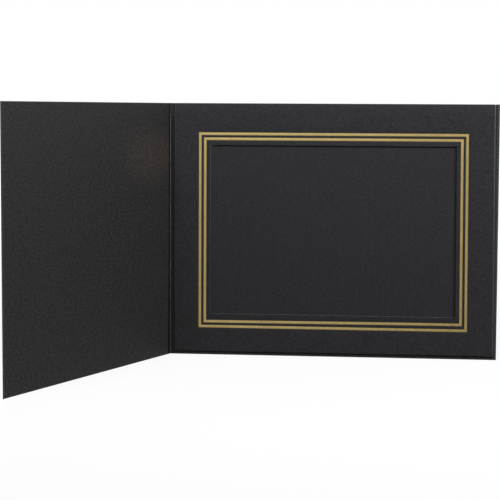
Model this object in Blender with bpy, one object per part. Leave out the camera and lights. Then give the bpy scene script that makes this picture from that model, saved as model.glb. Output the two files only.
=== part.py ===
"""Photo folder: a folded card cover with a windowed frame sheet and two gold rules.

Metres, +Z up. The folder stands on its bottom edges, opened like a book. The back
panel faces -Y, the fold is at its left and the cover swings towards -Y.
"""

import bpy
import bmesh
from math import acos, cos, pi, radians, sin
from mathutils import Vector

MM = 0.001

# Folder blank: cover and back are one sheet of card, each panel as wide as the other
PANEL_WIDTH = 221.2 * MM
PANEL_HEIGHT = 171.45 * MM
CARD = 0.5 * MM
OPENING_TURN = radians(73.4)

# Fold: its axis stands in front of the inner faces, on the line of the raised bead
FOLD_DEPTH = 0.55 * MM
CREASE_GAP = 0.3 * MM
BEAD_RADIUS = 0.25 * MM
BEAD_FLANK = 0.35 * MM
SCORE_DEPTH = 0.2 * MM
SCORE_FLANK = 0.3 * MM

# Frame sheet: folded over from the top edge of the back panel and glued down
FRAME_CARD = 0.5 * MM
POCKET = 0.3 * MM
SIDE_MARGIN = 2.0 * MM
BOTTOM_MARGIN = 2.2 * MM
CREASE_MARGIN = 2.6 * MM
NOTCH_GAP = 0.3 * MM
ROLL_WIDTH = 0.9 * MM
ROLL_DEPTH = 0.28 * MM

# Window, cut for a print held at all four sides
WINDOW_WIDTH = 165.1 * MM
WINDOW_HEIGHT = 114.3 * MM
WINDOW_CENTRE_X = 110.2 * MM
WINDOW_CENTRE_Z = 85.65 * MM

# Gold rules, stamped round the window a little low of its centre
RULE_OUTER_WIDTH = 182.35 * MM
RULE_OUTER_HEIGHT = 133.3 * MM
RULE_WIDTH = 2.05 * MM
RULE_GAP = 1.36 * MM
RULE_SHIFT_X = 0.15 * MM
RULE_SHIFT_Z = -0.3 * MM
STAMP_DEPTH = 0.06 * MM
FOIL = 0.05 * MM
FOIL_PLAY = 0.02 * MM

# Print pocket: the glue strips stop the print at its bottom and outer edges
PRINT_WIDTH = 177.8 * MM
PRINT_HEIGHT = 127.0 * MM
PRINT_PLAY = 1.0 * MM
GLUE_WIDTH = 8.0 * MM
GLUE_SETBACK = 3.0 * MM
GLUE_GAP = 0.3 * MM

# Steps in rounded forms
BEAD_STEPS = 12
ROLL_STEPS = 4
TOP_STEPS = 12


class Box:
    """An upright rectangle in the plane of the back panel."""

    def __init__(self, left, bottom, right, top):
        self.left = left
        self.bottom = bottom
        self.right = right
        self.top = top

    @classmethod
    def centred(cls, x, z, width, height):
        return cls(x - width / 2, z - height / 2, x + width / 2, z + height / 2)

    def inset(self, distance):
        return Box(
            self.left + distance,
            self.bottom + distance,
            self.right - distance,
            self.top - distance,
        )

    def outset(self, distance):
        return self.inset(-distance)

    def inset_below_top(self, distance):
        inner = self.inset(distance)
        inner.top = self.top
        return inner

    def corners(self):
        return [
            (self.left, self.bottom),
            (self.right, self.bottom),
            (self.right, self.top),
            (self.left, self.top),
        ]


# Depths: the inner face of the back panel is at zero, and the viewer is at -Y
FRAME_REAR = -POCKET
FRAME_FRONT = FRAME_REAR - FRAME_CARD
STAMP_FLOOR = FRAME_FRONT + STAMP_DEPTH
TOP_AXIS = (CARD + FRAME_FRONT) / 2
TOP_RADIUS = CARD - TOP_AXIS
TOP_LINE = PANEL_HEIGHT - TOP_RADIUS

PANEL_BOX = Box(CREASE_MARGIN - NOTCH_GAP, 0.0, PANEL_WIDTH, PANEL_HEIGHT)
FRAME_BOX = Box(CREASE_MARGIN, BOTTOM_MARGIN, PANEL_WIDTH - SIDE_MARGIN, TOP_LINE)
WINDOW_BOX = Box.centred(WINDOW_CENTRE_X, WINDOW_CENTRE_Z, WINDOW_WIDTH, WINDOW_HEIGHT)
PRINT_BOX = Box.centred(WINDOW_CENTRE_X, WINDOW_CENTRE_Z, PRINT_WIDTH, PRINT_HEIGHT)
OUTER_RULE_BOX = Box.centred(
    WINDOW_CENTRE_X + RULE_SHIFT_X,
    WINDOW_CENTRE_Z + RULE_SHIFT_Z,
    RULE_OUTER_WIDTH,
    RULE_OUTER_HEIGHT,
)
INNER_RULE_BOX = OUTER_RULE_BOX.inset(RULE_WIDTH + RULE_GAP)


def clear_scene():
    for item in list(bpy.data.objects):
        bpy.data.objects.remove(item, do_unlink=True)


def make_material(name, colour, roughness, metallic=0.0):
    material = bpy.data.materials.new(name)
    material.use_nodes = True
    shader = material.node_tree.nodes["Principled BSDF"]
    shader.inputs["Base Color"].default_value = (*colour, 1.0)
    shader.inputs["Roughness"].default_value = roughness
    shader.inputs["Metallic"].default_value = metallic
    return material


def make_empty(name, parent=None, location=(0.0, 0.0, 0.0), turn=0.0):
    empty = bpy.data.objects.new(name, None)
    bpy.context.collection.objects.link(empty)
    place(empty, parent, location, turn)
    return empty


def place(item, parent, location=(0.0, 0.0, 0.0), turn=0.0):
    item.parent = parent
    item.location = location
    item.rotation_euler = (0.0, 0.0, turn)


def make_piece(name, mesh_data, material, parent):
    bmesh.ops.recalc_face_normals(mesh_data, faces=mesh_data.faces)
    mesh = bpy.data.meshes.new(name)
    mesh_data.to_mesh(mesh)
    mesh_data.free()
    mesh.materials.append(material)
    piece = bpy.data.objects.new(name, mesh)
    bpy.context.collection.objects.link(piece)
    place(piece, parent)
    return piece


def extrude_outline(points, direction):
    """One closed solid: the outline of 3-D points, extruded along a vector."""
    mesh_data = bmesh.new()
    outline = [mesh_data.verts.new(point) for point in points]
    face = mesh_data.faces.new(outline)
    swept = bmesh.ops.extrude_face_region(mesh_data, geom=[face])
    moved = [item for item in swept["geom"] if isinstance(item, bmesh.types.BMVert)]
    bmesh.ops.translate(mesh_data, verts=moved, vec=direction)
    return mesh_data


def sweep_round_window(stations):
    """A ring with mitred corners: each station is a rectangle and its depth."""
    mesh_data = bmesh.new()
    loops = []
    for box, depth in stations:
        loops.append([mesh_data.verts.new((x, depth, z)) for x, z in box.corners()])
    for loop, following in zip(loops, loops[1:] + loops[:1]):
        for side in range(4):
            ahead = (side + 1) % 4
            mesh_data.faces.new(
                (loop[side], loop[ahead], following[ahead], following[side])
            )
    return mesh_data


def build_front_cover(material, parent):
    """The cover half, placed from the fold's axis."""
    left = -PANEL_WIDTH
    right = -CREASE_GAP / 2
    inner = FOLD_DEPTH
    outer = FOLD_DEPTH + CARD
    plan = [
        (left, inner),
        (right, inner),
        (right, outer - SCORE_DEPTH),
        (right - SCORE_FLANK, outer),
        (left, outer),
    ]
    outline = [(x, y, 0.0) for x, y in plan]
    mesh_data = extrude_outline(outline, Vector((0.0, 0.0, PANEL_HEIGHT)))
    return make_piece("front_cover", mesh_data, material, parent)


def bead_section():
    """Plan points round the bead, from its neck over its crown to its right side."""
    start = acos(CREASE_GAP / 2 / BEAD_RADIUS)
    points = []
    for step in range(BEAD_STEPS + 1):
        angle = start + (2.0 * pi - start) * step / BEAD_STEPS
        points.append((BEAD_RADIUS * cos(angle), BEAD_RADIUS * sin(angle) - FOLD_DEPTH))
    return points


def build_crease_strip(material, parent):
    """The strip beside the fold line: a bead inside and the score's flank outside."""
    left = CREASE_GAP / 2
    plan = bead_section()
    plan += [
        (BEAD_RADIUS + BEAD_FLANK, 0.0),
        (PANEL_BOX.left, 0.0),
        (PANEL_BOX.left, CARD),
        (left + SCORE_FLANK, CARD),
        (left, CARD - SCORE_DEPTH),
    ]
    outline = [(x, y, 0.0) for x, y in plan]
    mesh_data = extrude_outline(outline, Vector((0.0, 0.0, PANEL_HEIGHT)))
    return make_piece("crease_strip", mesh_data, material, parent)


def build_back_panel(material, parent):
    """The panel stops under the top fold, apart from the strip at its free edge."""
    notch = FRAME_BOX.right + NOTCH_GAP
    outline = [
        (PANEL_BOX.left, 0.0, PANEL_BOX.bottom),
        (PANEL_BOX.right, 0.0, PANEL_BOX.bottom),
        (PANEL_BOX.right, 0.0, PANEL_BOX.top),
        (notch, 0.0, PANEL_BOX.top),
        (notch, 0.0, TOP_LINE),
        (PANEL_BOX.left, 0.0, TOP_LINE),
    ]
    mesh_data = extrude_outline(outline, Vector((0.0, CARD, 0.0)))
    return make_piece("back_panel", mesh_data, material, parent)


def roll_station(box, step, inset):
    """One rectangle of the pressed-round edge, from its foot to the front face."""
    angle = pi / 2 * step / ROLL_STEPS
    distance = ROLL_WIDTH * (1.0 - cos(angle))
    depth = FRAME_FRONT + ROLL_DEPTH * (1.0 - sin(angle))
    return inset(box, distance), depth


def channel_stations(box):
    inner = box.inset(RULE_WIDTH)
    return [
        (box, FRAME_FRONT),
        (box, STAMP_FLOOR),
        (inner, STAMP_FLOOR),
        (inner, FRAME_FRONT),
    ]


def outer_edge_stations():
    """The sheet's outer edge: its rear corner, then the roll to the front face."""
    stations = [(FRAME_BOX, FRAME_REAR)]
    for step in range(ROLL_STEPS + 1):
        stations.append(roll_station(FRAME_BOX, step, Box.inset_below_top))
    return stations


def window_edge_stations():
    """The window's edge, from the front face to its rear corner."""
    stations = []
    for step in reversed(range(ROLL_STEPS + 1)):
        stations.append(roll_station(WINDOW_BOX, step, Box.outset))
    stations.append((WINDOW_BOX, FRAME_REAR))
    return stations


def build_frame_sheet(material, parent):
    """Die-cut window, pressed-round edges and the two stamped channels."""
    stations = outer_edge_stations()
    stations += channel_stations(OUTER_RULE_BOX)
    stations += channel_stations(INNER_RULE_BOX)
    stations += window_edge_stations()
    mesh_data = sweep_round_window(stations)
    return make_piece("frame_sheet", mesh_data, material, parent)


def build_top_fold(material, parent):
    """The card's half turn, from the frame sheet's top over to the back panel's."""
    stations = outer_edge_stations()
    section = [(box.left, depth) for box, depth in stations]
    section += [(box.right, depth) for box, depth in reversed(stations)]
    mesh_data = bmesh.new()
    outline = [mesh_data.verts.new((x, depth, TOP_LINE)) for x, depth in section]
    face = mesh_data.faces.new(outline)
    bmesh.ops.spin(
        mesh_data,
        geom=[face, *face.edges, *face.verts],
        cent=(0.0, TOP_AXIS, TOP_LINE),
        axis=(1.0, 0.0, 0.0),
        angle=-pi,
        steps=TOP_STEPS,
        use_duplicate=False,
    )
    return make_piece("top_fold", mesh_data, material, parent)


def build_foil_rule(name, channel, material, parent):
    outer = channel.inset(FOIL_PLAY)
    inner = channel.inset(RULE_WIDTH - FOIL_PLAY)
    front = STAMP_FLOOR - FOIL
    stations = [
        (outer, STAMP_FLOOR),
        (outer, front),
        (inner, front),
        (inner, STAMP_FLOOR),
    ]
    return make_piece(name, sweep_round_window(stations), material, parent)


def build_glue_strip(name, box, material, parent):
    outline = [(x, 0.0, z) for x, z in box.corners()]
    mesh_data = extrude_outline(outline, Vector((0.0, FRAME_REAR, 0.0)))
    return make_piece(name, mesh_data, material, parent)


def build_glue_strips(material, parent):
    side_left = PRINT_BOX.right + PRINT_PLAY
    bottom_top = PRINT_BOX.bottom - PRINT_PLAY
    side = Box(
        side_left,
        FRAME_BOX.bottom + GLUE_SETBACK,
        side_left + GLUE_WIDTH,
        FRAME_BOX.top - GLUE_SETBACK,
    )
    bottom = Box(
        FRAME_BOX.left + GLUE_SETBACK,
        bottom_top - GLUE_WIDTH,
        side.left - GLUE_GAP,
        bottom_top,
    )
    build_glue_strip("side_glue_strip", side, material, parent)
    build_glue_strip("bottom_glue_strip", bottom, material, parent)


def folder_place():
    """Place of the fold line, with the standing folder centred over the origin."""
    across = cos(OPENING_TURN)
    forward = sin(OPENING_TURN)
    lowest_x = -PANEL_WIDTH * across - (FOLD_DEPTH + CARD) * forward
    lowest_y = -PANEL_WIDTH * forward - FOLD_DEPTH * (1.0 - across)
    return (-(lowest_x + PANEL_WIDTH) / 2, -(lowest_y + CARD) / 2, 0.0)


def build_folder():
    clear_scene()
    cover_card = make_material("cover_card", (0.030, 0.030, 0.031), 0.75)
    frame_card = make_material("frame_card", (0.031, 0.031, 0.035), 0.72)
    gold_foil = make_material("gold_foil", (0.72, 0.55, 0.26), 0.35, 1.0)
    glue = make_material("dried_glue", (0.62, 0.56, 0.42), 0.45)

    back = make_empty("back", location=folder_place())
    cover_fold = make_empty("cover_fold", back, (0.0, -FOLD_DEPTH, 0.0), OPENING_TURN)

    build_front_cover(cover_card, cover_fold)
    build_crease_strip(cover_card, back)
    build_back_panel(cover_card, back)
    build_top_fold(frame_card, back)
    build_frame_sheet(frame_card, back)
    build_foil_rule("outer_foil_rule", OUTER_RULE_BOX, gold_foil, back)
    build_foil_rule("inner_foil_rule", INNER_RULE_BOX, gold_foil, back)
    build_glue_strips(glue, back)


build_folder()
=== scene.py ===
"""Photo folder: folded card, window flap with stamped gold rules, and its studio."""

from math import atan2, cos, exp, hypot, pi, radians, sin

import bmesh
import bpy
from mathutils import Matrix, Vector, noise


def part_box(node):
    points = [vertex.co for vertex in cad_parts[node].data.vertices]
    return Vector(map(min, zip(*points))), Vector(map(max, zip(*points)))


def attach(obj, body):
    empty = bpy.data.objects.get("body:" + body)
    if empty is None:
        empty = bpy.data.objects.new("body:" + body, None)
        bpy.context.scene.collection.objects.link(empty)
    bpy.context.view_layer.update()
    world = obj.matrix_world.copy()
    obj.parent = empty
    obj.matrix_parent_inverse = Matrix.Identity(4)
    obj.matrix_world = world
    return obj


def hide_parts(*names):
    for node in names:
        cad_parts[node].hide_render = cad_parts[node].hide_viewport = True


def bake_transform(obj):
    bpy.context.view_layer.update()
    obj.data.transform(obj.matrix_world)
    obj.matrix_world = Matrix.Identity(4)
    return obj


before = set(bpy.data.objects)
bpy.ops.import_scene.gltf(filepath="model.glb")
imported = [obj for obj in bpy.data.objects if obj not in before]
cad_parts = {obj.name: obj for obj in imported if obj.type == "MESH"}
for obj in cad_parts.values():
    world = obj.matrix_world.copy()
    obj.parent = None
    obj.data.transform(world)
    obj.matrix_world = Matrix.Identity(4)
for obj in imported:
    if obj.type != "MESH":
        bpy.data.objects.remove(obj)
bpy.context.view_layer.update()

MM = 0.001

# The folder's sizes, as its solids have them
PANEL_WIDTH = 221.2 * MM
CARD = 0.5 * MM
OPENING_TURN = radians(73.4)
FOLD_DEPTH = 0.55 * MM
POCKET = 0.3 * MM
RULE_WIDTH = 2.05 * MM
FOIL = 0.05 * MM
FOIL_PLAY = 0.02 * MM

PANEL_LOW, PANEL_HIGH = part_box("back_panel")
PANEL_HEIGHT = PANEL_HIGH.z
FOOT = Vector((PANEL_HIGH.x - PANEL_WIDTH, PANEL_LOW.y, 0.0))
FLAP_REAR = -POCKET
FLAP_FRONT = -POCKET - CARD
TOP_AXIS = (CARD + FLAP_FRONT) / 2
TOP_RADIUS = CARD - TOP_AXIS
TOP_LINE = PANEL_HEIGHT - TOP_RADIUS
NOTCH_GAP = 0.14 * MM

# The pressed round edges of the flap
ROLL_WIDTH = 0.75 * MM
ROLL_DEPTH = 0.36 * MM
ROLL_END = 1.35 * ROLL_WIDTH

# The stamped channels, the foil's soft edges, and how far the stamp has drifted
CHANNEL_FLOOR = 0.06 * MM
CHANNEL_SHOULDER = 0.10 * MM
KNEE_REACH = 0.3 * CHANNEL_SHOULDER
KNEE_DEPTH = 0.25 * CHANNEL_FLOOR
FOIL_EDGE = 0.34 * MM
FOIL_DROP = 0.03 * MM
FOIL_MIDWAY_DROP = 0.02 * MM
STAMP_DRIFT = (-0.07 * MM, -0.22 * MM)

# The raised bead along the fold, the valley beside it, and the score behind it
BEAD_HEIGHT = 0.75 * MM
BEAD_REACH = 0.34 * MM
BEAD_CENTRE = -0.32 * MM
BEAD_LEAN = Vector((0.20, -0.98, 0.0))
BEAD_START = 9.0 * MM
BEAD_RAMP = 4.0 * MM
BEAD_SHARE_TOP = 0.20
SWELL_SHARE = 0.10
RIPPLE_SHARE = 0.08
VALLEY_DEPTH = 0.26 * MM
VALLEY_REACH = 0.34 * MM
VALLEY_OFFSET = 0.90 * MM
SCORE_DEPTH = 0.14 * MM
SCORE_REACH = 0.3 * MM

# Uneven stretches along the fold: where in the noise each is read, and a stretch's length
BEAD_SWELL = (3.1, 0.7, 9.0 * MM)
BEAD_RIPPLE = (7.7, 2.9, 2.2 * MM)
CROWN_PATCH = (1.3, 5.2, 2.4 * MM)

# The bead's crown, light from wear and from a painted highlight, and painted shade beside it: on
# the cover's side, and on the strip between the bead and the flap
CROWN_FLAT = 0.22 * MM
CROWN_EDGE = 0.46 * MM
CROWN_WEAR_AND_HIGHLIGHT_FOOT = 0.40
CROWN_WEAR_AND_HIGHLIGHT_TOP = 1.12
CROWN_PATCH_MEAN = 1.03
PAINTED_SHADE_FADE = 0.15 * MM
SHADE_START = 0.33 * MM
SHADE_END = 2.10 * MM
SHADE_GROWTH = 1.0 * MM
SHADE_END_FADE = 0.2 * MM
STRIP_SHADE_START = 0.60 * MM
STRIP_SHADE_END = 2.2 * MM
STRIP_SHADE_END_FADE = 0.8 * MM
STRIP_SHADE_TONE = 0.36

# The open cover is a little warped: its free edge leans out at the top and in at the foot
WARP_TOP = -0.60 * MM
WARP_FOOT = 0.25 * MM

# The back panel's free edge leans out towards the top
BACK_LEAN = 0.30 * MM
BACK_LEAN_START = 0.8 * PANEL_WIDTH

# The flap isn't folded quite square: it stands off at the fold side, and its sides lean
FLAP_LIFT = 0.26 * MM
FLAP_LIFT_REACH = 34.0 * MM
LIFT_FOOT = (12.0 * MM, 45.0 * MM)
LIFT_TOP = (PANEL_HEIGHT - 26.0 * MM, PANEL_HEIGHT - 4.0 * MM)
FLAP_TAPER = 0.5 * MM
FREE_SIDE = 20.0 * MM
TAPER_RISE = (0.25 * PANEL_HEIGHT, PANEL_HEIGHT)
FLAP_LEAN = 0.56 * MM
FLAP_LEAN_FOOT = 0.36 * MM
LEAN_ACROSS = (0.4 * PANEL_WIDTH, 0.85 * PANEL_WIDTH)
FOOT_RULE_RISE = 0.50 * MM
FOOT_RULE_ACROSS = (0.1 * PANEL_WIDTH, 0.8 * PANEL_WIDTH)

# Wear along the flap's outer edges, with a painted highlight that grows towards the top: its
# amount at the foot, its growth up to the top, and where it starts to fade and ends, in widths of
# the pressed edge
FLAP_EDGE_WEAR_AND_HIGHLIGHT = {
    "free side": (0.33, 0.28, 0.6, 1.1),
    "foot": (0.15, 0.0, 0.1, 0.4),
    "fold side": (0.06, 0.12, 0.8, 1.2),
}
RIM_WEAR = 0.3

# The window's edges: a painted highlight line on the lit sides, and painted shade round the edges,
# strongest on the top and right sides.
# A painted shade has its amount, and where it starts to fade and ends
WINDOW_EDGE = 2.0 * ROLL_WIDTH
LIT_LINE = 0.55 * ROLL_WIDTH
LIT_LINE_REACH = 0.26 * ROLL_WIDTH
LIT_HIGHLIGHT_FOOT = 0.25
LIT_HIGHLIGHT_GROWTH = 0.55
LIT_INNER_PAINTED_SHADE = (0.5, 0.1, 0.3)
LIT_OUTER_PAINTED_SHADE = 0.55
LIT_OUTER_LINE = (0.85 * ROLL_WIDTH, ROLL_WIDTH)
LIT_OUTER_END = 1.1 * ROLL_WIDTH
TOP_PAINTED_SHADE = (0.12, 0.5, 1.1)
RIGHT_PAINTED_SHADE = (0.78, 0.8, 1.3)

# Mesh steps and tolerances
SHEET_ROWS = 228
ARC_STEPS = 14
ROLL_STEPS = 6
TOP_STEPS = 14
BEND_STEP = 7.0 * MM
RIM_ROUND = 0.07 * MM
RIM_ANGLE = radians(60)
SMOOTH_ANGLE = radians(40)
SAME_PLACE = 0.001 * MM
SAME_RING = 0.0005 * MM
ON_THE_CUT = 0.0001 * MM
BEHIND_FOLD = -0.01 * MM


class Box:
    """An upright rectangle in the plane of the back panel."""

    def __init__(self, left, bottom, right, top):
        self.left = left
        self.bottom = bottom
        self.right = right
        self.top = top

    def shifted(self, across, up):
        return Box(self.left + across, self.bottom + up, self.right + across, self.top + up)

    def inset(self, distance):
        return Box(
            self.left + distance,
            self.bottom + distance,
            self.right - distance,
            self.top - distance,
        )

    def inset_below_top(self, distance):
        inner = self.inset(distance)
        inner.top = self.top
        return inner

    def corners(self):
        return [
            (self.left, self.bottom),
            (self.right, self.bottom),
            (self.right, self.top),
            (self.left, self.top),
        ]


def node_box(name):
    """A solid's box, measured from the foot of the fold."""
    low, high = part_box(name)
    return Box(low.x - FOOT.x, low.z, high.x - FOOT.x, high.z)


# The flap, its window's pressed edges, and the stamped rules
FLAP_BOX = node_box("frame_sheet")
WINDOW_BOX = Box(27.75 * MM, 28.6 * MM, 192.7 * MM, 142.75 * MM)
OUTER_RULE_BOX = node_box("outer_foil_rule").inset(-FOIL_PLAY).shifted(*STAMP_DRIFT)
INNER_RULE_BOX = node_box("inner_foil_rule").inset(-FOIL_PLAY).shifted(*STAMP_DRIFT)

# The inner rule's foot side: between these heights the stamp rises towards the free side
FOOT_RULE_LOW = (OUTER_RULE_BOX.bottom + 2.4 * MM, INNER_RULE_BOX.bottom - 0.2 * MM)
FOOT_RULE_HIGH = (INNER_RULE_BOX.bottom + 2.3 * MM, WINDOW_BOX.bottom - 1.2 * MM)


def smoothstep(low, high, value):
    """Rises softly from zero at one value to one at another."""
    t = min(1.0, max(0.0, (value - low) / (high - low)))
    return t * t * (3.0 - 2.0 * t)


def bell(distance, reach):
    """One at no distance, fading out past its reach."""
    return exp(-((distance / reach) ** 2))


def unevenness(stretch, z):
    """Slow random change along the fold, between -1 and 1, the same in each run."""
    across, depth, length = stretch
    return noise.noise(Vector((across, depth, z / length)))


# Shader maths as expressions
class Value:
    """A socket that can be added and multiplied like a number."""

    def __init__(self, sheet, socket):
        self.sheet = sheet
        self.socket = socket

    def _math(self, operation, first, second):
        return self.sheet.node(
            "ShaderNodeMath", {"operation": operation}, {0: first, 1: second}
        )

    def __add__(self, other):
        return self._math("ADD", self, other)

    def __radd__(self, other):
        return self._math("ADD", other, self)

    def __sub__(self, other):
        return self._math("SUBTRACT", self, other)

    def __rsub__(self, other):
        return self._math("SUBTRACT", other, self)

    def __mul__(self, other):
        return self._math("MULTIPLY", self, other)

    def __rmul__(self, other):
        return self._math("MULTIPLY", other, self)

    def clamped(self, low=0.0, high=1.0):
        return self.sheet.node("ShaderNodeClamp", {}, {0: self, 1: low, 2: high})


class Sheet:
    """The node tree of one material or of the world."""

    def __init__(self, owner):
        owner.use_nodes = True
        self.tree = owner.node_tree
        self.tree.nodes.clear()

    def node(self, kind, settings=None, inputs=None, output=0):
        """Adds a node: its settings first, then the values or links of its sockets."""
        made = self.tree.nodes.new(kind)
        for name, value in (settings or {}).items():
            setattr(made, name, value)
        for name, value in (inputs or {}).items():
            self._feed(made.inputs[name], value)
        return Value(self, made.outputs[output]) if made.outputs else made

    def _feed(self, socket, value):
        if isinstance(value, Value):
            self.tree.links.new(value.socket, socket)
        else:
            socket.default_value = value

    def place(self, output="Object"):
        return self.node("ShaderNodeTexCoord", {}, {}, output)

    def attribute(self, name, output="Fac"):
        return self.node("ShaderNodeAttribute", {"attribute_name": name}, {}, output)

    def card_place(self):
        """Where a point lies on the flat sheet, so that a pattern follows the fold."""
        return self.attribute("flat_place", "Vector")

    def stretched(self, scale):
        return self.node("ShaderNodeMapping", {}, {"Vector": self.card_place(), "Scale": scale})

    def noise(self, scale, detail=2.0, roughness=0.5, place=None):
        inputs = {
            "Vector": place or self.card_place(),
            "Scale": scale,
            "Detail": detail,
            "Roughness": roughness,
        }
        return self.node("ShaderNodeTexNoise", {}, inputs, "Fac")

    def part(self, place, axis):
        return self.node("ShaderNodeSeparateXYZ", {}, {"Vector": place}, axis)

    def ramp(self, value, low, high, smooth=True):
        """Zero below one value and one above another."""
        settings = {"interpolation_type": "SMOOTHSTEP" if smooth else "LINEAR"}
        inputs = {"Value": value, "From Min": low, "From Max": high}
        return self.node("ShaderNodeMapRange", settings, inputs)

    def mix(self, factor, first, second, blend="MIX"):
        return self.node(
            "ShaderNodeMix",
            {"data_type": "RGBA", "blend_type": blend},
            {0: factor, 6: first, 7: second},
            2,
        )

    def grey_of(self, tone):
        return self.node("ShaderNodeCombineColor", {}, {0: tone, 1: tone, 2: tone})

    def bump(self, strength, distance, height):
        inputs = {"Strength": strength, "Distance": distance, "Height": height}
        return self.node("ShaderNodeBump", {}, inputs, "Normal")

    def finish_surface(self, shader):
        self.node("ShaderNodeOutputMaterial", {}, {"Surface": shader})

    def finish_principled(self, inputs):
        self.finish_surface(self.node("ShaderNodeBsdfPrincipled", {}, inputs))


# Colours of the finishes, with the colours of the painted shade and highlights
# The cover's inner face is the same card as the back panel, given a slightly darker, less blue
# black: painted shade
COVER_BLACK = (0.0284, 0.0276, 0.0294, 1.0)
BACK_BLACK = (0.0297, 0.0295, 0.0328, 1.0)
FIBRE_AND_HIGHLIGHT_GREY = (0.150, 0.150, 0.156, 1.0)
PAINTED_SHADE_BLACK = (0.001, 0.001, 0.001, 1.0)
GOLD = (0.70, 0.530, 0.224, 1.0)
THIN_GOLD = (0.19, 0.142, 0.060, 1.0)
GLUE_DARK = (0.50, 0.43, 0.30, 1.0)
GLUE_PALE = (0.68, 0.62, 0.48, 1.0)

# Patterns of the finishes: waves to the metre, and three numbers where one is stretched
CARD_FINE = 2400.0
CARD_CLOUDS = 70.0
CARD_LINT = 520.0
CARD_FLECKS = (260.0, 400.0, 600.0)
COVER_FIBRES = (360.0, 900.0, 820.0)
BACK_FIBRES = (520.0, 900.0, 1300.0)
FOIL_FINE = 2200.0
FOIL_GRAIN = 620.0
FOIL_STREAKS = 38.0
GLUE_CLOUDS = 240.0
GLUE_FINE = 1500.0

# How strongly the card's patterns show, and the heights of the reliefs
COVER_CONTRAST = 3.1
BACK_CONTRAST = 1.6
LINT_LEVELS = (0.76, 0.82)
LINT_SHARE = 0.22
CARD_GLOSS = 0.18
CARD_RELIEF = 0.05 * MM
FOIL_RELIEF = 0.03 * MM
GLUE_RELIEF = 0.05 * MM

# How far from the fold, and how deep in the card, the cover's grain turns into the back's
FOLD_BLEND = 2.0 * MM
OUTSIDE_BLEND = (0.2 * CARD, 0.8 * CARD)


def card_stock(name, cover_colour, back_colour):
    """Black board: pressed fibre grain, mottling, lint, worn edges with painted highlights, and
    painted shade lines.
    """
    material = bpy.data.materials.new(name)
    sheet = Sheet(material)
    fine = sheet.noise(CARD_FINE, 2.0, 0.6)
    back_half = sheet.ramp(sheet.part(sheet.card_place(), "X"), -FOLD_BLEND, FOLD_BLEND)
    outside = sheet.ramp(sheet.part(sheet.card_place(), "Y"), *OUTSIDE_BLEND)
    backwards = (back_half + outside).clamped()
    back_grain = sheet.noise(1.0, 2.0, 0.6, sheet.stretched(BACK_FIBRES))
    cover_grain = sheet.noise(1.0, 2.0, 0.6, sheet.stretched(COVER_FIBRES))
    fibres = cover_grain + backwards * (back_grain - cover_grain)
    contrast = COVER_CONTRAST + (BACK_CONTRAST - COVER_CONTRAST) * backwards
    flecks = sheet.noise(1.0, 1.0, 0.5, sheet.stretched(CARD_FLECKS))
    clouds = sheet.noise(CARD_CLOUDS, 3.0, 0.6)
    lint = sheet.ramp(sheet.noise(CARD_LINT, 1.0, 0.5), *LINT_LEVELS, smooth=False)
    tone = 0.67 + 0.10 * fine + contrast * (fibres - 0.5) + 0.35 * flecks + 0.22 * clouds
    colour = sheet.mix(backwards, cover_colour, back_colour)
    face = sheet.mix(1.0, colour, sheet.grey_of(tone.clamped(0.3, 2.0)), "MULTIPLY")
    # Worn fibres and painted highlights lighten the card
    worn_and_lit = (sheet.attribute("wear_and_highlight") * (0.55 + 0.9 * fibres)).clamped()
    light_fibres_and_highlights = (worn_and_lit + LINT_SHARE * lint).clamped()
    lightened = sheet.mix(light_fibres_and_highlights, face, FIBRE_AND_HIGHLIGHT_GREY)
    relief = 0.35 * fine + 0.65 * fibres + 0.5 * flecks
    sheet.finish_principled({
        # Painted shade darkens the card here
        "Base Color": sheet.mix(sheet.attribute("painted_shade"), lightened, PAINTED_SHADE_BLACK),
        "Roughness": 0.52 + 0.26 * fibres,
        "Specular IOR Level": CARD_GLOSS,
        "Normal": sheet.bump(0.7, CARD_RELIEF, relief),
    })
    return material


def hot_foil(name):
    """Satin gold foil: pressed into the board, with the board's grain just showing."""
    material = bpy.data.materials.new(name)
    sheet = Sheet(material)
    fine = sheet.noise(FOIL_FINE, 2.0, 0.6)
    grain = sheet.noise(FOIL_GRAIN, 2.0, 0.55)
    streaks = sheet.noise(FOIL_STREAKS, 2.0, 0.5)
    tone = 0.60 + 0.18 * fine + 0.42 * grain + 0.18 * streaks
    gold = sheet.mix(1.0, GOLD, sheet.grey_of(tone), "MULTIPLY")
    thin = (sheet.attribute("wear_and_highlight") * (0.6 + 0.8 * grain)).clamped()
    sheet.finish_principled({
        "Base Color": sheet.mix(thin, gold, THIN_GOLD),
        "Metallic": 1.0,
        "Roughness": 0.44 + 0.12 * grain,
        "Normal": sheet.bump(0.5, FOIL_RELIEF, 0.5 * fine + 0.5 * grain),
    })
    return material


def dried_glue(name):
    """A flat line of dried glue, clouded and slightly uneven."""
    material = bpy.data.materials.new(name)
    sheet = Sheet(material)
    clouds = sheet.noise(GLUE_CLOUDS, 3.0, 0.6, sheet.place())
    fine = sheet.noise(GLUE_FINE, 2.0, 0.5, sheet.place())
    sheet.finish_principled({
        "Base Color": sheet.mix(clouds, GLUE_DARK, GLUE_PALE),
        "Roughness": 0.38 + 0.2 * fine,
        "Normal": sheet.bump(0.4, GLUE_RELIEF, 0.7 * clouds + 0.3 * fine),
    })
    return material


# Mesh helpers
def whole(bm):
    return bm.verts[:] + bm.edges[:] + bm.faces[:]


def drawn_verts(drawn):
    return [item for item in drawn if isinstance(item, bmesh.types.BMVert)]


def edges_between(drawn, verts):
    ends = set(verts)
    return [
        item
        for item in drawn
        if isinstance(item, bmesh.types.BMEdge) and ends.issuperset(item.verts)
    ]


def sharp_edges(bm, limit):
    return [
        edge
        for edge in bm.edges
        if len(edge.link_faces) == 2 and edge.calc_face_angle() > limit
    ]


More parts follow.
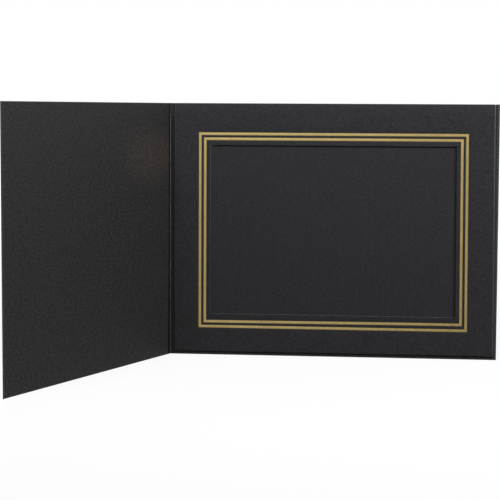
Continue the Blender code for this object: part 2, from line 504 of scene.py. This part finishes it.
def finish_piece(name, bm, material):
    """The mesh goes to its place in the frame, with soft shading over its curves."""
    bmesh.ops.translate(bm, verts=bm.verts, vec=FOOT)
    for face in bm.faces:
        face.smooth = True
    for edge in bm.edges:
        if len(edge.link_faces) == 2:
            edge.smooth = edge.calc_face_angle() < SMOOTH_ANGLE
    mesh = bpy.data.meshes.new(name)
    bm.to_mesh(mesh)
    bm.free()
    mesh.materials.append(material)
    piece = bpy.data.objects.new(name, mesh)
    bpy.context.collection.objects.link(piece)
    return piece


# The folded sheet: cover, fold and back panel in one. Its rows of points lie this many
# millimetres from the fold, close together where the bead is pressed up
SHEET_STATIONS = (
    0.07, 0.14, 0.21, 0.28, 0.36, 0.45, 0.54, 0.64, 0.76, 0.9, 1.05, 1.25, 1.5, 1.75,
    2.0, 2.3, 2.6, 3.0, 3.6, 5.0, 8.0, 14.0, 24.0, 38.0, 54.0, 72.0, 92.0, 112.0,
    132.0, 152.0, 172.0, 190.0, 204.0, 213.0, 219.35, 221.2,
)
ALONG_BACK = Vector((1.0, 0.0, 0.0))
ALONG_COVER = Vector((-cos(OPENING_TURN), -sin(OPENING_TURN), 0.0))
COVER_NORMAL = Vector((sin(OPENING_TURN), -cos(OPENING_TURN), 0.0))
BISECTOR = Vector((sin(OPENING_TURN / 2), -cos(OPENING_TURN / 2), 0.0))


def draw_out(bm, column, direction):
    """Draws a column of edges out along a direction, one station at a time."""
    edges = column
    reached = 0.0
    for station in SHEET_STATIONS:
        drawn = bmesh.ops.extrude_edge_only(bm, edges=edges)["geom"]
        verts = drawn_verts(drawn)
        bmesh.ops.translate(bm, verts=verts, vec=direction * (station * MM - reached))
        reached = station * MM
        edges = edges_between(drawn, verts)


def sheet_place(point):
    """Where a point of the sheet lies: along the sheet from the fold, and its depth."""
    x = point.x
    y = point.y + FOLD_DEPTH
    half_arc = OPENING_TURN / 2 * FOLD_DEPTH
    angle = atan2(-x, y)
    if angle <= 0.0:
        return x + half_arc, y - FOLD_DEPTH
    if angle >= OPENING_TURN:
        across = x * cos(OPENING_TURN) + y * sin(OPENING_TURN)
        depth = y * cos(OPENING_TURN) - x * sin(OPENING_TURN)
        return across - half_arc, depth - FOLD_DEPTH
    return (OPENING_TURN / 2 - angle) * FOLD_DEPTH, hypot(x, y) - FOLD_DEPTH


def bead_share(z):
    """The bead comes up below the top edge and is uneven along its length."""
    down = PANEL_HEIGHT - z
    risen = smoothstep(BEAD_START - BEAD_RAMP, BEAD_START + BEAD_RAMP, down)
    rise = BEAD_SHARE_TOP + (1.0 - BEAD_SHARE_TOP) * risen
    swell = SWELL_SHARE * unevenness(BEAD_SWELL, z)
    ripple = RIPPLE_SHARE * unevenness(BEAD_RIPPLE, z)
    return rise * (1.0 + swell + ripple)


def cover_warp(along, z):
    """How far the cover leans out of its plane, most of all along its free edge."""
    share = min(0.0, along) / PANEL_WIDTH
    height = z / PANEL_HEIGHT
    return share * share * (WARP_FOOT + (WARP_TOP - WARP_FOOT) * height)


def crown_wear_and_highlight(off_bead, share, z):
    """The bead's crown is made light in patches, partly by wear and partly as a painted highlight,
    more towards the top.
    """
    height = z / PANEL_HEIGHT
    patches = CROWN_PATCH_MEAN + unevenness(CROWN_PATCH, z)
    crown = (1.0 - smoothstep(CROWN_FLAT, CROWN_EDGE, abs(off_bead))) * share * patches
    return crown * (CROWN_WEAR_AND_HIGHLIGHT_FOOT + (CROWN_WEAR_AND_HIGHLIGHT_TOP - CROWN_WEAR_AND_HIGHLIGHT_FOOT) * height)


def paint_fold_shade(off_bead, share, z):
    """Painted shade beside the bead: in the valley on the cover's side, and on the strip towards
    the flap.
    """
    height = z / PANEL_HEIGHT
    shade_end = SHADE_END + SHADE_GROWTH * (1.0 - height) ** 2
    shade = smoothstep(SHADE_START - PAINTED_SHADE_FADE, SHADE_START + PAINTED_SHADE_FADE, -off_bead)
    shade *= 1.0 - smoothstep(shade_end - SHADE_END_FADE, shade_end + SHADE_END_FADE, -off_bead)
    strip_shade = smoothstep(STRIP_SHADE_START - PAINTED_SHADE_FADE, STRIP_SHADE_START + PAINTED_SHADE_FADE, off_bead)
    strip_shade *= 1.0 - smoothstep(STRIP_SHADE_END, STRIP_SHADE_END + STRIP_SHADE_END_FADE, off_bead)
    return min(1.0, shade + STRIP_SHADE_TONE * strip_shade * share * share)


def press_fold(bm, wear_and_highlight, painted_shade, flat_place):
    """Raises the bead inside the fold, with a valley beside it, and scores the outside; paints the
    crown's highlight and the shade beside the bead.
    """
    for vert in bm.verts:
        along, depth = sheet_place(vert.co)
        z = vert.co.z
        vert[flat_place] = Vector((along, depth, z))
        share = bead_share(z)
        inner = 1.0 - smoothstep(0.0, CARD, depth)
        off_bead = along - BEAD_CENTRE
        bead = bell(off_bead, BEAD_REACH) * inner
        valley = bell(off_bead + VALLEY_OFFSET, VALLEY_REACH) * inner
        score = bell(along, SCORE_REACH) * (1.0 - inner)
        lean = z / PANEL_HEIGHT * smoothstep(BACK_LEAN_START, PANEL_WIDTH, along)
        vert.co += BEAD_LEAN * (BEAD_HEIGHT * share * bead)
        vert.co += BISECTOR * (SCORE_DEPTH * score)
        vert.co -= COVER_NORMAL * (VALLEY_DEPTH * valley)
        vert.co += COVER_NORMAL * cover_warp(along, z)
        vert.co.x += BACK_LEAN * lean
        # Wear and a painted highlight on the bead's crown
        vert[wear_and_highlight] = max(vert[wear_and_highlight], min(1.0, crown_wear_and_highlight(off_bead, share, z) * inner))
        # Painted shade beside the bead
        vert[painted_shade] = paint_fold_shade(off_bead, share, z) * inner


def round_rims(bm, wear_and_highlight):
    """Softens the cut rims and marks them as worn."""
    made = bmesh.ops.bevel(
        bm,
        geom=sharp_edges(bm, RIM_ANGLE),
        offset=RIM_ROUND,
        offset_type="OFFSET",
        segments=2,
        profile=0.5,
        affect="EDGES",
        material=-1,
        clamp_overlap=True,
    )
    for vert in made["verts"]:
        vert[wear_and_highlight] = RIM_WEAR


def cut_under_top_fold(bm):
    """Takes away the card above the line where the flap turns over."""
    left = FLAP_BOX.left - NOTCH_GAP / 2
    right = FLAP_BOX.right - FLAP_TAPER - BACK_LEAN + NOTCH_GAP / 2
    cuts = (
        ((0.0, 0.0, TOP_LINE), (0.0, 0.0, 1.0)),
        ((left, 0.0, 0.0), (1.0, 0.0, 0.0)),
        ((right, 0.0, 0.0), (1.0, 0.0, 0.0)),
    )
    for point, normal in cuts:
        bmesh.ops.bisect_plane(
            bm, geom=whole(bm), dist=SAME_PLACE, plane_co=point, plane_no=normal
        )
    above = []
    for face in bm.faces:
        middle = face.calc_center_median()
        if middle.z > TOP_LINE and left < middle.x < right and middle.y > BEHIND_FOLD:
            above.append(face)
    bmesh.ops.delete(bm, geom=above, context="FACES")


def face_inwards(bm):
    """Turns the open sheet's faces to the inside of the folder, so that it thickens outwards."""
    bmesh.ops.recalc_face_normals(bm, faces=bm.faces)
    facing = sum(face.normal.y * face.calc_area() for face in bm.faces)
    if facing > 0.0:
        bmesh.ops.reverse_faces(bm, faces=bm.faces)


def build_folded_sheet(material):
    bm = bmesh.new()
    ends = [bm.verts.new((0.0, 0.0, z)) for z in (0.0, PANEL_HEIGHT)]
    start = bm.edges.new(ends)
    bmesh.ops.subdivide_edges(bm, edges=[start], cuts=SHEET_ROWS - 1)
    column = list(bm.edges)
    column_verts = list(bm.verts)
    draw_out(bm, column, ALONG_BACK)
    spun = bmesh.ops.spin(
        bm,
        geom=column + column_verts,
        cent=(0.0, -FOLD_DEPTH, 0.0),
        axis=(0.0, 0.0, 1.0),
        angle=OPENING_TURN,
        steps=ARC_STEPS,
        use_duplicate=False,
    )
    cover_column = [item for item in spun["geom_last"] if isinstance(item, bmesh.types.BMEdge)]
    draw_out(bm, cover_column, ALONG_COVER)
    bmesh.ops.remove_doubles(bm, verts=bm.verts, dist=SAME_PLACE)
    cut_under_top_fold(bm)
    face_inwards(bm)
    bmesh.ops.solidify(bm, geom=list(bm.faces), thickness=CARD)
    bmesh.ops.recalc_face_normals(bm, faces=bm.faces)
    wear_and_highlight = bm.verts.layers.float.new("wear_and_highlight")
    painted_shade = bm.verts.layers.float.new("painted_shade")
    flat_place = bm.verts.layers.float_vector.new("flat_place")
    round_rims(bm, wear_and_highlight)
    press_fold(bm, wear_and_highlight, painted_shade, flat_place)
    return finish_piece("folded_card", bm, material)


# The flap: lofted ring by ring from its outer edge to the window
def roll_stations(box, inset):
    """The pressed round edge, from its foot to the flat face."""
    stations = []
    for step in range(ROLL_STEPS + 1):
        angle = pi / 2 * step / ROLL_STEPS
        distance = ROLL_WIDTH * (1.0 - cos(angle))
        depth = FLAP_FRONT + ROLL_DEPTH * (1.0 - sin(angle))
        stations.append((inset(box, distance), depth))
    stations.append((inset(box, ROLL_END), FLAP_FRONT))
    return stations


def channel_stations(box):
    """The shallow channel that the stamp leaves, with soft shoulders."""
    inner = box.inset(RULE_WIDTH)
    return [
        (box.inset(-CHANNEL_SHOULDER), FLAP_FRONT),
        (box.inset(-KNEE_REACH), FLAP_FRONT + KNEE_DEPTH),
        (box, FLAP_FRONT + CHANNEL_FLOOR),
        (inner, FLAP_FRONT + CHANNEL_FLOOR),
        (inner.inset(KNEE_REACH), FLAP_FRONT + KNEE_DEPTH),
        (inner.inset(CHANNEL_SHOULDER), FLAP_FRONT),
    ]


def loft_rings(bm, stations):
    """Extrudes a rectangle of edges from station to station, and closes the ring."""
    box, depth = stations[0]
    verts = [bm.verts.new((x, depth, z)) for x, z in box.corners()]
    first = [bm.edges.new((verts[i], verts[(i + 1) % 4])) for i in range(4)]
    edges = first
    for box, depth in stations[1:]:
        drawn = bmesh.ops.extrude_edge_only(bm, edges=edges)["geom"]
        placed = dict(zip(verts, box.corners()))
        following = {}
        for vert in drawn_verts(drawn):
            origin = next(
                edge.other_vert(vert)
                for edge in vert.link_edges
                if edge.other_vert(vert) in placed
            )
            x, z = placed[origin]
            vert.co = (x, depth, z)
            following[origin] = vert
        verts = [following[vert] for vert in verts]
        edges = edges_between(drawn, verts)
    bmesh.ops.bridge_loops(bm, edges=first + edges)


def cut_evenly(bm):
    """Cuts a piece across, so that it can bend."""
    xs = [vert.co.x for vert in bm.verts]
    zs = [vert.co.z for vert in bm.verts]
    for axis, low, high in ((0, min(xs), max(xs)), (2, min(zs), max(zs))):
        count = int((high - low) / BEND_STEP)
        for index in range(1, count):
            point = Vector()
            normal = Vector()
            point[axis] = low + (high - low) * index / count
            normal[axis] = 1.0
            bmesh.ops.bisect_plane(
                bm, geom=whole(bm), dist=ON_THE_CUT, plane_co=point, plane_no=normal
            )


def settle_flap(bm):
    """Stands the flap's open side a little off the panel, and leans its sides and rules."""
    for vert in bm.verts:
        side = 1.0 - smoothstep(0.0, FLAP_LIFT_REACH, vert.co.x - FLAP_BOX.left)
        low = smoothstep(*LIFT_FOOT, vert.co.z)
        high = 1.0 - smoothstep(*LIFT_TOP, vert.co.z)
        vert.co.y -= FLAP_LIFT * side * side * low * high
        free = smoothstep(FLAP_BOX.right - FREE_SIDE, FLAP_BOX.right, vert.co.x)
        vert.co.x -= FLAP_TAPER * free * smoothstep(*TAPER_RISE, vert.co.z)
        inside = smoothstep(*LEAN_ACROSS, vert.co.x) * (1.0 - free)
        vert.co.x += inside * (FLAP_LEAN_FOOT - FLAP_LEAN * vert.co.z / PANEL_HEIGHT)
        rule = smoothstep(*FOOT_RULE_LOW, vert.co.z)
        rule *= 1.0 - smoothstep(*FOOT_RULE_HIGH, vert.co.z)
        vert.co.z += FOOT_RULE_RISE * rule * smoothstep(*FOOT_RULE_ACROSS, vert.co.x)


def keep_flat_place(bm):
    """Keeps where each point lies on the flat card, for the card's patterns."""
    flat_place = bm.verts.layers.float_vector.new("flat_place")
    for vert in bm.verts:
        vert[flat_place] = vert.co


def edge_fade(distance, start, end):
    """One up to a distance from an edge and zero past another, in widths of the roll."""
    return 1.0 - smoothstep(start * ROLL_WIDTH, end * ROLL_WIDTH, distance)


def outer_edge_wear_and_highlight(x, z):
    height = z / PANEL_HEIGHT
    distances = {
        "free side": abs(FLAP_BOX.right - x),
        "foot": abs(z - FLAP_BOX.bottom),
        "fold side": abs(x - FLAP_BOX.left),
    }
    worn_and_lit = 0.0
    for side, (amount, growth, start, end) in FLAP_EDGE_WEAR_AND_HIGHLIGHT.items():
        worn_and_lit = max(worn_and_lit, (amount + growth * height) * edge_fade(distances[side], start, end))
    return worn_and_lit


def flap_edge_tones(x, z):
    """How worn the flap's card is, with painted highlights and painted shade, by the distance from
    its edges.
    """
    # Wear and a painted highlight along the flap's outer edges
    worn_and_lit = outer_edge_wear_and_highlight(x, z)
    height = z / PANEL_HEIGHT
    lit = max(WINDOW_BOX.left - x, WINDOW_BOX.bottom - z)
    above = z - WINDOW_BOX.top
    beside = x - WINDOW_BOX.right
    if max(lit, above, beside) >= WINDOW_EDGE:
        return worn_and_lit, 0.0
    # Painted shadow along the window's shaded top and right sides
    if lit < max(above, beside):
        if beside > above:
            amount, start, end = RIGHT_PAINTED_SHADE
            return worn_and_lit, amount * edge_fade(beside, start, end)
        amount, start, end = TOP_PAINTED_SHADE
        return worn_and_lit, amount * edge_fade(above, start, end)
    # A painted highlight along the window's lit sides, stronger towards the top
    line = LIT_HIGHLIGHT_FOOT + LIT_HIGHLIGHT_GROWTH * height * height
    line *= bell(lit - LIT_LINE, LIT_LINE_REACH)
    # Painted shade beside the light line on the lit sides
    amount, start, end = LIT_INNER_PAINTED_SHADE
    painted_shade = amount * edge_fade(lit, start, end)
    if lit < LIT_OUTER_END:
        painted_shade += LIT_OUTER_PAINTED_SHADE * smoothstep(*LIT_OUTER_LINE, lit)
    return max(worn_and_lit, line), painted_shade


def turn_over_top(bm):
    """Bends the flap's top edge round in a half turn, down to the back panel."""
    top = [
        face
        for face in bm.faces
        if all(abs(vert.co.z - TOP_LINE) < SAME_PLACE for vert in face.verts)
    ]
    bmesh.ops.spin(
        bm,
        geom=top,
        cent=(0.0, TOP_AXIS, TOP_LINE),
        axis=(1.0, 0.0, 0.0),
        angle=-pi,
        steps=TOP_STEPS,
        use_duplicate=False,
    )
    bmesh.ops.remove_doubles(bm, verts=bm.verts, dist=SAME_RING)
    bmesh.ops.recalc_face_normals(bm, faces=bm.faces)


def build_flap(material):
    bm = bmesh.new()
    stations = [(FLAP_BOX, FLAP_REAR)]
    stations += roll_stations(FLAP_BOX, Box.inset_below_top)
    stations += channel_stations(OUTER_RULE_BOX)
    stations += channel_stations(INNER_RULE_BOX)
    stations += reversed(roll_stations(WINDOW_BOX, lambda box, distance: box.inset(-distance)))
    stations.append((WINDOW_BOX, FLAP_REAR))
    loft_rings(bm, stations)
    cut_evenly(bm)
    bmesh.ops.remove_doubles(bm, verts=bm.verts, dist=SAME_RING)
    bmesh.ops.recalc_face_normals(bm, faces=bm.faces)
    turn_over_top(bm)
    wear_and_highlight = bm.verts.layers.float.new("wear_and_highlight")
    keep_flat_place(bm)
    painted_shade = bm.verts.layers.float.new("painted_shade")
    for vert in bm.verts:
        vert[wear_and_highlight], vert[painted_shade] = flap_edge_tones(vert.co.x, vert.co.z)
    settle_flap(bm)
    return finish_piece("window_flap", bm, material)


def build_rule(name, box, material):
    """One foil rule: flat across, with its edges pressed down into the channel."""
    floor = FLAP_FRONT + CHANNEL_FLOOR
    front = floor - FOIL
    outer = box.inset(FOIL_PLAY)
    inner = box.inset(RULE_WIDTH - FOIL_PLAY)
    bm = bmesh.new()
    loft_rings(bm, [
        (outer, floor),
        (outer, front + FOIL_DROP),
        (outer.inset(0.5 * FOIL_EDGE), front + FOIL_MIDWAY_DROP),
        (outer.inset(FOIL_EDGE), front),
        (box.inset(RULE_WIDTH / 2), front),
        (inner.inset(-FOIL_EDGE), front),
        (inner.inset(-0.5 * FOIL_EDGE), front + FOIL_MIDWAY_DROP),
        (inner, front + FOIL_DROP),
        (inner, floor),
    ])
    cut_evenly(bm)
    bmesh.ops.recalc_face_normals(bm, faces=bm.faces)
    wear_and_highlight = bm.verts.layers.float.new("wear_and_highlight")
    keep_flat_place(bm)
    for vert in bm.verts:
        vert[wear_and_highlight] = smoothstep(front, front + FOIL_DROP, vert.co.y)
    settle_flap(bm)
    return finish_piece(name, bm, material)


# Camera, as fitted to the photographed edges; its place is measured from the foot of the fold
CAMERA_PLACE = Vector((199.977, -1244.977, 167.519)) * MM
CAMERA_YAW = radians(6.6723)
CAMERA_PITCH = radians(4.3583)
CAMERA_ROLL = radians(0.2911)
CAMERA_REACH = 20.0
FOCAL_PIXELS = 1848.33
IMAGE_WIDTH = 500
SENSOR = 36.0

# Floor, and the studio that the gold mirrors
FLOOR_SIZE = 6.0
FLOOR_DROP = 0.05 * MM
FLOOR_TONE = 0.08
FLOOR_WHITE_SHARE = 0.88
FLOOR_SHADOW_END = 0.3
FLOOR_FAR = 1.4
WORLD_LEVEL = 0.01
STUDIO_LEFT = 1.0
STUDIO_RIGHT = 0.0
STUDIO_BEHIND = 0.5
STUDIO_TURN = 0.65
STUDIO_FLOOR_REACH = 0.5
STUDIO_WORLD_REACH = 0.45

# Lamps: name, place, width, watts and colour
LAMP_TARGET = Vector((0.02, 0.06, 0.09))
LAMPS = (
    ("front_left", (-0.16, -0.29, 0.54), 0.24, 2.25, (1.0, 1.0, 1.0)),
    ("right_side", (0.55, -0.142, 0.43), 0.22, 3.40, (1.0, 0.992, 0.980)),
    ("rear_fill", (-0.35, 0.95, 0.60), 0.40, 3.00, (1.0, 1.0, 1.0)),
)

# The warm spot beside the fold
GLOW_PLACE = Vector((0.50, 0.02, 0.137))
GLOW_TARGET = Vector((-0.0873, 0.0759, 0.137))
GLOW_POWER = 4.3
GLOW_COLOUR = (1.0, 0.66, 0.37)
GLOW_CONE = radians(4.2)
GLOW_WIDTH = 2.2
GLOW_SOFTNESS = 0.01


def make_camera():
    across = Vector((cos(CAMERA_YAW), sin(CAMERA_YAW), 0.0))
    ahead = Vector((
        -sin(CAMERA_YAW) * cos(CAMERA_PITCH),
        cos(CAMERA_YAW) * cos(CAMERA_PITCH),
        -sin(CAMERA_PITCH),
    ))
    up = across.cross(ahead)
    right = across * cos(CAMERA_ROLL) + up * sin(CAMERA_ROLL)
    top = up * cos(CAMERA_ROLL) - across * sin(CAMERA_ROLL)
    data = bpy.data.cameras.new("camera")
    data.sensor_width = SENSOR
    data.lens = FOCAL_PIXELS * SENSOR / IMAGE_WIDTH
    data.clip_end = CAMERA_REACH
    camera = bpy.data.objects.new("camera", data)
    bpy.context.collection.objects.link(camera)
    turn = Matrix((right, top, -ahead)).transposed()
    camera.matrix_world = Matrix.Translation(FOOT + CAMERA_PLACE) @ turn.to_4x4()
    bpy.context.scene.camera = camera


def seen_directly(sheet):
    """Camera rays, and the rays that mirrors and glass send on."""
    camera = sheet.node("ShaderNodeLightPath", {}, {}, "Is Camera Ray")
    glossy = sheet.node("ShaderNodeLightPath", {}, {}, "Is Glossy Ray")
    through = sheet.node("ShaderNodeLightPath", {}, {}, "Is Transmission Ray")
    return camera, (glossy + through).clamped()


def studio_tone(sheet, place, reach):
    """What the foil sees: white behind the object, a studio in front, darker at the right."""
    behind = sheet.ramp(sheet.part(place, "Y"), 0.0, STUDIO_BEHIND * reach)
    rightwards = sheet.ramp(sheet.part(place, "X"), -reach, STUDIO_TURN * reach)
    front = STUDIO_LEFT + (STUDIO_RIGHT - STUDIO_LEFT) * rightwards
    return front + (1.0 - front) * behind


def floor_paint():
    """Pale floor: white to the camera but for the object's shadow, and whiter far away."""
    material = bpy.data.materials.new("pale_floor")
    sheet = Sheet(material)
    camera, mirrored = seen_directly(sheet)
    tone = FLOOR_TONE + (1.0 - FLOOR_TONE) * camera
    plain = sheet.node("ShaderNodeBsdfDiffuse", {}, {"Color": sheet.grey_of(tone)})
    level = camera + mirrored * studio_tone(sheet, sheet.place(), STUDIO_FLOOR_REACH)
    glow = sheet.node("ShaderNodeEmission", {}, {"Color": sheet.grey_of(level), "Strength": 1.0})
    away = sheet.node("ShaderNodeVectorMath", {"operation": "LENGTH"}, {0: sheet.place()}, "Value")
    far = sheet.ramp(away, FLOOR_SHADOW_END, FLOOR_FAR)
    white_share = FLOOR_WHITE_SHARE + (1.0 - FLOOR_WHITE_SHARE) * far
    share = (camera + mirrored).clamped() * white_share
    sheet.finish_surface(sheet.node("ShaderNodeMixShader", {}, {0: share, 1: plain, 2: glow}))
    return material


def make_floor():
    bm = bmesh.new()
    bmesh.ops.create_grid(bm, x_segments=1, y_segments=1, size=FLOOR_SIZE)
    mesh = bpy.data.meshes.new("floor")
    bm.to_mesh(mesh)
    bm.free()
    mesh.materials.append(floor_paint())
    floor = bpy.data.objects.new("floor", mesh)
    floor.location.z = -FLOOR_DROP
    bpy.context.collection.objects.link(floor)


def make_world():
    world = bpy.data.worlds.new("studio")
    bpy.context.scene.world = world
    sheet = Sheet(world)
    camera, mirrored = seen_directly(sheet)
    reflection = mirrored * studio_tone(sheet, sheet.place("Generated"), STUDIO_WORLD_REACH)
    unseen = 1.0 - (camera + mirrored).clamped()
    level = camera + reflection + unseen * WORLD_LEVEL
    shade = sheet.node(
        "ShaderNodeBackground", {}, {"Color": sheet.grey_of(level), "Strength": 1.0}
    )
    sheet.node("ShaderNodeOutputWorld", {}, {"Surface": shade})


def hang_lamp(data, place, target):
    lamp = bpy.data.objects.new(data.name, data)
    lamp.location = place
    lamp.rotation_euler = (target - place).to_track_quat("-Z", "Y").to_euler()
    bpy.context.collection.objects.link(lamp)
    return lamp


def make_lamp(name, place, size, power, colour):
    data = bpy.data.lights.new(name, "AREA")
    data.size = size
    data.energy = power
    data.color = colour
    hang_lamp(data, Vector(place), LAMP_TARGET)


def make_glow():
    """A soft warm spot stands in for the light that the gold throws onto the cover."""
    data = bpy.data.lights.new("gold_glow", "SPOT")
    data.energy = GLOW_POWER
    data.color = GLOW_COLOUR
    data.spot_size = GLOW_CONE
    data.spot_blend = 1.0
    data.shadow_soft_size = GLOW_SOFTNESS
    lamp = hang_lamp(data, GLOW_PLACE, GLOW_TARGET)
    lamp.scale = (GLOW_WIDTH, 1.0, 1.0)


make_camera()
make_floor()
make_world()
for lamp_name, lamp_place, lamp_size, lamp_power, lamp_colour in LAMPS:
    make_lamp(lamp_name, lamp_place, lamp_size, lamp_power, lamp_colour)
make_glow()
bpy.context.scene.view_settings.view_transform = "Standard"

cover_card = card_stock("cover_card", COVER_BLACK, BACK_BLACK)
flap_card = card_stock("flap_card", BACK_BLACK, BACK_BLACK)
foil = hot_foil("gold_foil")
glue = dried_glue("dried_glue")

folded_card = build_folded_sheet(cover_card)
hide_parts("front_cover", "crease_strip", "back_panel")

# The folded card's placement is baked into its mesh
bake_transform(folded_card)

window_flap = build_flap(flap_card)
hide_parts("frame_sheet", "top_fold")
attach(window_flap, "back")

for rule_name, rule_box, node in (
    ("outer_gold_rule", OUTER_RULE_BOX, "outer_foil_rule"),
    ("inner_gold_rule", INNER_RULE_BOX, "inner_foil_rule"),
):
    rule = build_rule(rule_name, rule_box, foil)
    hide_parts(node)
    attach(rule, "back")

for node in ("side_glue_strip", "bottom_glue_strip"):
    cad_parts[node].material_slots[0].material = glue
